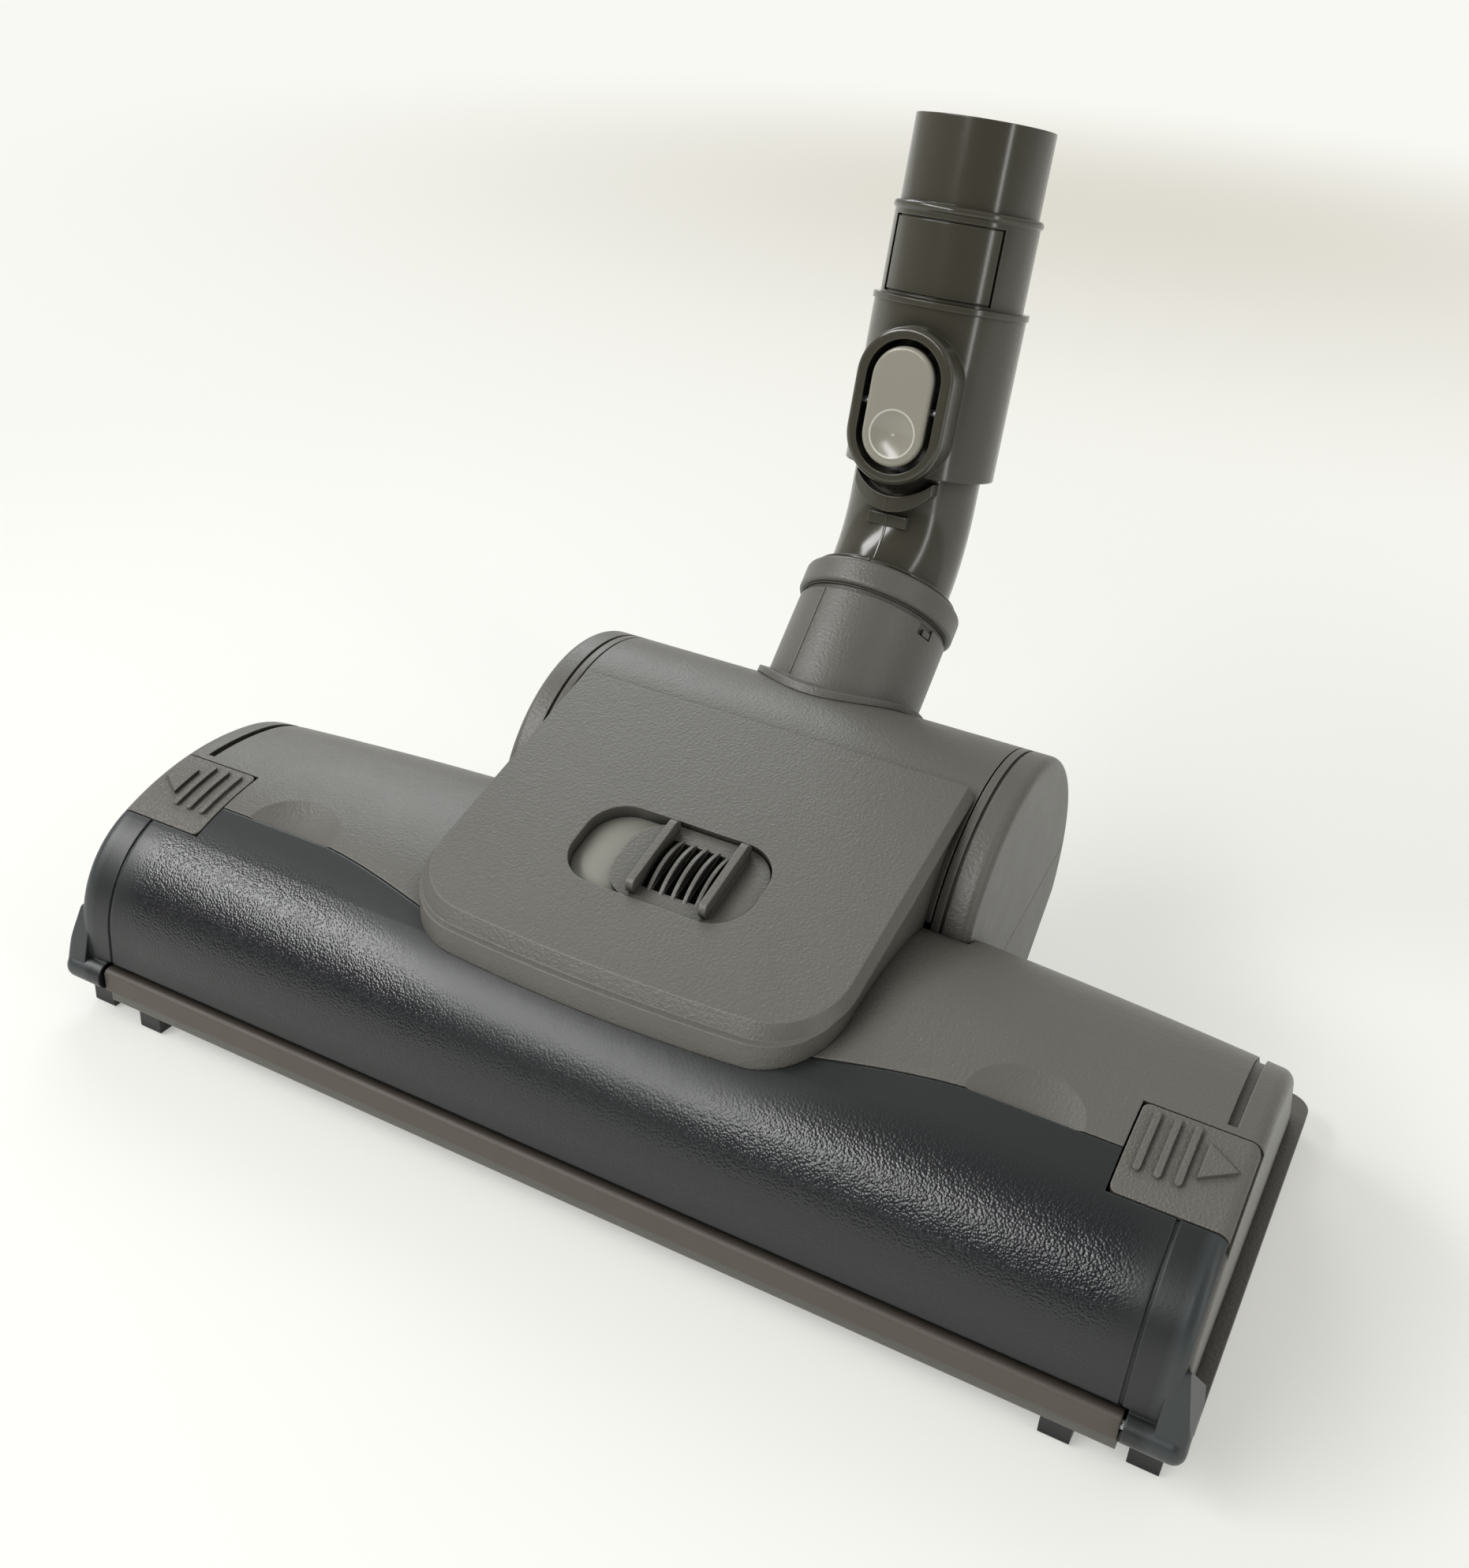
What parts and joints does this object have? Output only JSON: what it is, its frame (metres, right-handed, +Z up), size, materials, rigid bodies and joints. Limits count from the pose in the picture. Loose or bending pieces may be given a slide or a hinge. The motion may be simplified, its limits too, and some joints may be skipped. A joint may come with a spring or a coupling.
{
  "type": "vacuum floor brush head",
  "caption": "Air-driven rotating-brush floor head for a vacuum cleaner, with a tilting neck, swivel elbow, hinged window, side latches and an air slider.",
  "frame": {"origin": "on the floor, in the middle of the whole part's footprint", "axes": "+X to the head's right end seen from the front, +Y to the rear, +Z up"},
  "size_m": [0.2784, 0.208, 0.2111],
  "materials": {
    "housing_abs": "fine matte grain",
    "latch_abs": "fine matte grain",
    "inner_abs": "matte",
    "valve_seat_abs": "satin",
    "smoky_polycarbonate": "clear smoky with a pebbled band",
    "soft_strip": "matte",
    "elbow_abs": "semi-gloss",
    "button_abs": "satin",
    "steel": "plain",
    "felt": "felt",
    "lint_velour": "short pile",
    "rotor_pom": "satin",
    "belt_rubber": "matte",
    "bristle_nylon": "fibres",
    "roller_plastic": "satin"
  },
  "bodies": {
    "head": {"upper_housing": "housing_abs", "lower_housing": "housing_abs", "sole_plate": "housing_abs", "shield_plate": "housing_abs", "air_valve_seat": "valve_seat_abs", "bumper_strip": "soft_strip", "window_pins": "steel", "drum_cap_right": "housing_abs", "drum_cap_left": "housing_abs", "rotor_bearing_right": "steel", "rotor_bearing_left": "steel", "drive_belt": "belt_rubber", "brush_bush_right": "rotor_pom", "brush_bush_left": "rotor_pom", "rear_axle_right": "steel", "rear_axle_left": "steel", "front_feet": "roller_plastic", "lint_strips": "lint_velour", "housing_screws": "steel", "latch_spring_right": "steel", "latch_spring_left": "steel"},
    "window": {"window": "smoky_polycarbonate"},
    "latch_right": {"latch_right": "latch_abs"},
    "latch_left": {"latch_left": "latch_abs"},
    "air_slider": {"air_slider": "housing_abs"},
    "brush": {"brush_bar": "roller_plastic", "brush_pulley": "inner_abs", "bristle_rows": "bristle_nylon"},
    "rotor": {"turbine_rotor": "rotor_pom", "rotor_shaft": "steel", "rotor_pulley": "inner_abs"},
    "wheel_right": {"rear_wheel_right": "roller_plastic"},
    "wheel_left": {"rear_wheel_left": "roller_plastic"},
    "neck": {"swivel_drum": "housing_abs", "neck_tube": "housing_abs", "collar_ring": "housing_abs", "swivel_seal": "felt"},
    "elbow": {"elbow_pipe": "elbow_abs", "adaptor_sleeve": "elbow_abs", "adaptor_tube": "elbow_abs", "button_pin": "steel", "button_spring": "steel"},
    "button": {"release_button": "button_abs"}
  },
  "joints": [
    {"name": "neck_tilt", "type": "hinge", "parent": "head", "child": "neck", "pos_m": [0, 0.00729, 0.0423], "axis": [1, 0, 0], "range_deg": [-33, 30]},
    {"name": "elbow_swivel", "type": "hinge", "parent": "neck", "child": "elbow", "pos_m": [0, 0.00729, 0.0423], "axis": [0, 0.6984, 0.7157], "range_deg": [-90, 90]},
    {"name": "button_rock", "type": "hinge", "parent": "elbow", "child": "button", "pos_m": [0, 0.05331, 0.14414], "axis": [1, 0, 0], "range_deg": [0, 5], "stiffness_Nm_per_rad": 0.5, "springref_deg": -2.86, "deforming": ["button_spring"]},
    {"name": "air_slide", "type": "slide", "parent": "head", "child": "air_slider", "axis": [-1, 0, 0], "range_m": [0, 0.0095]},
    {"name": "latch_right_slide", "type": "slide", "parent": "head", "child": "latch_right", "axis": [1, 0, 0], "range_m": [0, 0.005], "stiffness_N_per_m": 300, "springref_m": -0.002, "deforming": ["latch_spring_right"]},
    {"name": "latch_left_slide", "type": "slide", "parent": "head", "child": "latch_left", "axis": [-1, 0, 0], "range_m": [0, 0.005], "stiffness_N_per_m": 300, "springref_m": -0.002, "deforming": ["latch_spring_left"]},
    {"name": "window_hinge", "type": "hinge", "parent": "head", "child": "window", "pos_m": [0, -0.10051, 0.0118], "axis": [1, 0, 0], "range_deg": [0, 75]},
    {"name": "brush_spin", "type": "hinge", "parent": "head", "child": "brush", "pos_m": [0, -0.07351, 0.023], "axis": [1, 0, 0], "continuous": true},
    {"name": "rotor_spin", "type": "hinge", "parent": "head", "child": "rotor", "pos_m": [0, 0.00729, 0.0423], "axis": [1, 0, 0], "continuous": true},
    {"name": "wheel_right_spin", "type": "hinge", "parent": "head", "child": "wheel_right", "pos_m": [0.104, 0.00029, 0.007], "axis": [1, 0, 0], "continuous": true},
    {"name": "wheel_left_spin", "type": "hinge", "parent": "head", "child": "wheel_left", "pos_m": [-0.104, 0.00029, 0.007], "axis": [1, 0, 0], "continuous": true}
  ],
  "couplings": [
    {"joint": "rotor_spin", "follows": "brush_spin", "ratio": 2.2}
  ]
}
